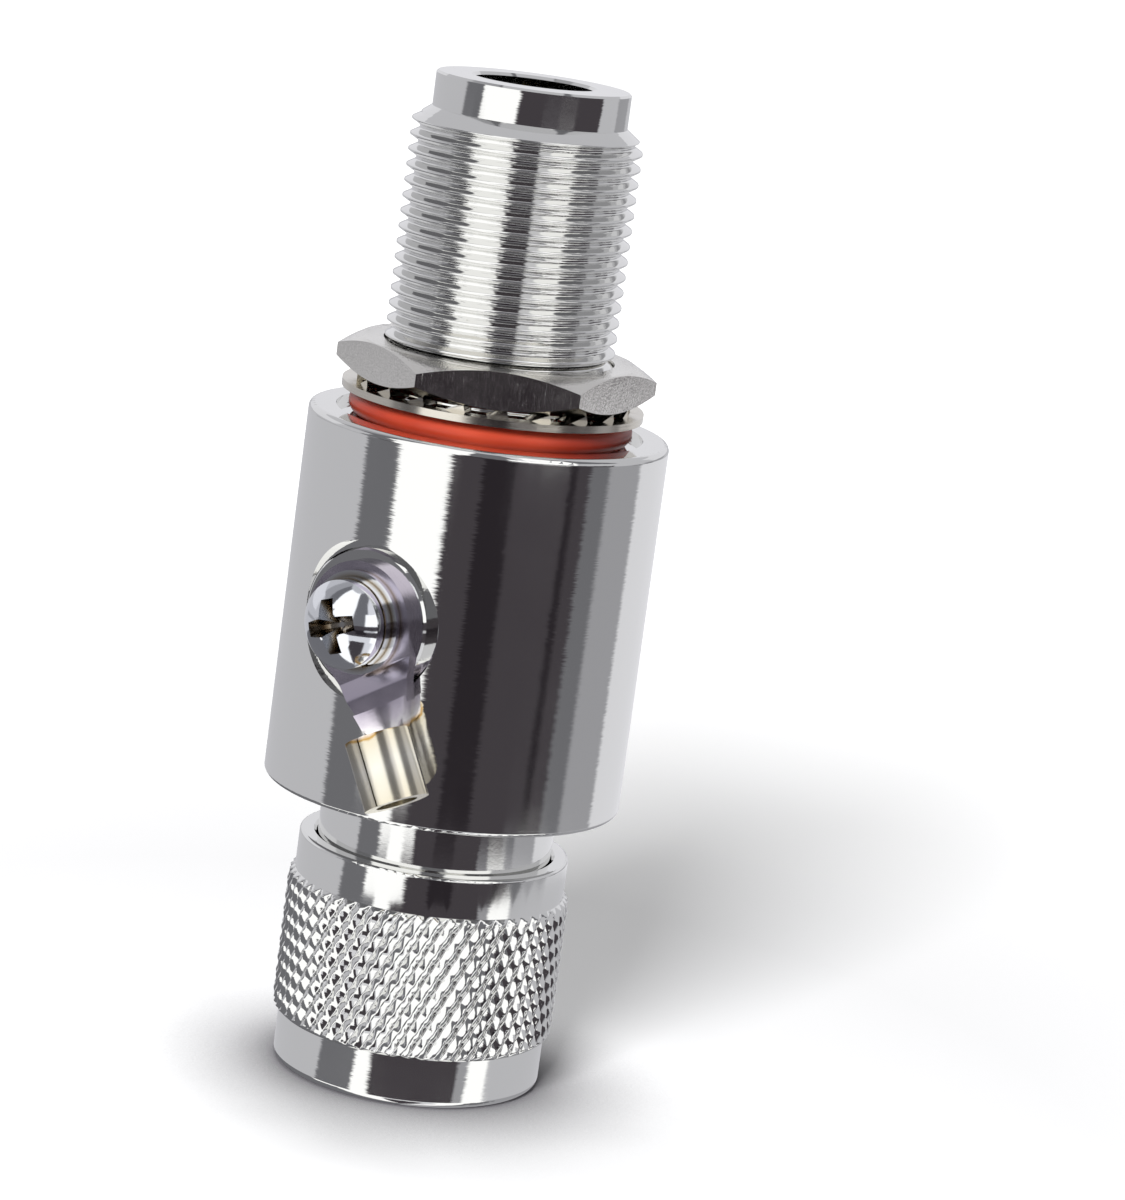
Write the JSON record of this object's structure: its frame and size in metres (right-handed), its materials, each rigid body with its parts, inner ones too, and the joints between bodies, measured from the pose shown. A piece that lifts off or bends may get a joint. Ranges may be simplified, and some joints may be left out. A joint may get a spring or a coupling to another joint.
{
  "type": "coax lightning arrestor",
  "caption": "Inline coaxial surge arrestor: plug with a knurled coupling nut, threaded jack for a panel, and a ground screw with a crimp ring lug over the gas tube's cap.",
  "frame": {"origin": "on the common axis, in the plane of the coupling nut's mouth", "axes": "+Z runs from the plug's mouth to the jack's mouth along the common axis; -Y is the side of the ground screw; +X is the side to which the lug leans"},
  "size_m": [0.0249, 0.0297, 0.0699],
  "materials": {
    "nickel_plated_brass": "bright nickel plating on turned brass",
    "tinned_brass": "tin plating with a warm tone",
    "washer_steel": "plated spring steel",
    "screw_steel": "bright plated steel",
    "gold_plated_contact": "gold plating on turned brass",
    "silver_plated_rod": "silver plating on turned brass",
    "seal_silicone": "orange-red silicone rubber, satin",
    "white_ptfe": "turned white fluoropolymer",
    "tube_electrode": "nickel-plated caps",
    "tube_ceramic": "glazed ceramic ring"
  },
  "bodies": {
    "arrestor": {"housing": "nickel_plated_brass", "plug_body": "nickel_plated_brass", "pin_contact": "gold_plated_contact", "centre_rod": "silver_plated_rod", "socket_contact": "gold_plated_contact", "front_insulator": "white_ptfe", "rear_insulator": "white_ptfe", "gas_tube_inner_electrode": "tube_electrode", "gas_tube_ceramic": "tube_ceramic", "gas_tube_outer_electrode": "tube_electrode", "gas_tube_spring": "washer_steel", "gas_tube_plug": "nickel_plated_brass", "plug_seal": "seal_silicone", "panel_o_ring": "seal_silicone", "plug_gasket": "seal_silicone", "retaining_ring": "washer_steel"},
    "coupling": {"coupling_nut": "nickel_plated_brass"},
    "panel_washer": {"lock_washer": "washer_steel"},
    "panel_nut": {"hex_nut": "nickel_plated_brass"},
    "screw_washers": {"flat_washer": "washer_steel", "split_washer": "washer_steel"},
    "screw": {"ground_screw": "screw_steel"},
    "lug": {"ground_lug": "tinned_brass"}
  },
  "joints": [
    {"name": "coupling_spin", "type": "hinge", "parent": "arrestor", "child": "coupling", "pos_m": [0, 0, 0.0122], "axis": [0, 0, 1], "continuous": true},
    {"name": "nut_travel", "type": "slide", "parent": "arrestor", "child": "panel_washer", "axis": [0, 0, 1], "range_m": [0, 0.01482]},
    {"name": "nut_turn", "type": "hinge", "parent": "panel_washer", "child": "panel_nut", "pos_m": [0, 0, 0.04882], "axis": [0, 0, 1], "range_deg": [0, 5040]},
    {"name": "screw_travel", "type": "slide", "parent": "arrestor", "child": "screw_washers", "axis": [0, -1, 0], "range_m": [0, 0.003]},
    {"name": "screw_turn", "type": "hinge", "parent": "screw_washers", "child": "screw", "pos_m": [0, -0.0139, 0.0337], "axis": [0, -1, 0], "range_deg": [0, 2160]},
    {"name": "lug_pivot", "type": "hinge", "parent": "arrestor", "child": "lug", "pos_m": [0, -0.012, 0.0337], "axis": [0, -1, 0], "continuous": true}
  ],
  "couplings": [
    {"joint": "nut_turn", "follows": "nut_travel", "rad_per_m": 5937.1},
    {"joint": "screw_turn", "follows": "screw_travel", "rad_per_m": 12566}
  ]
}
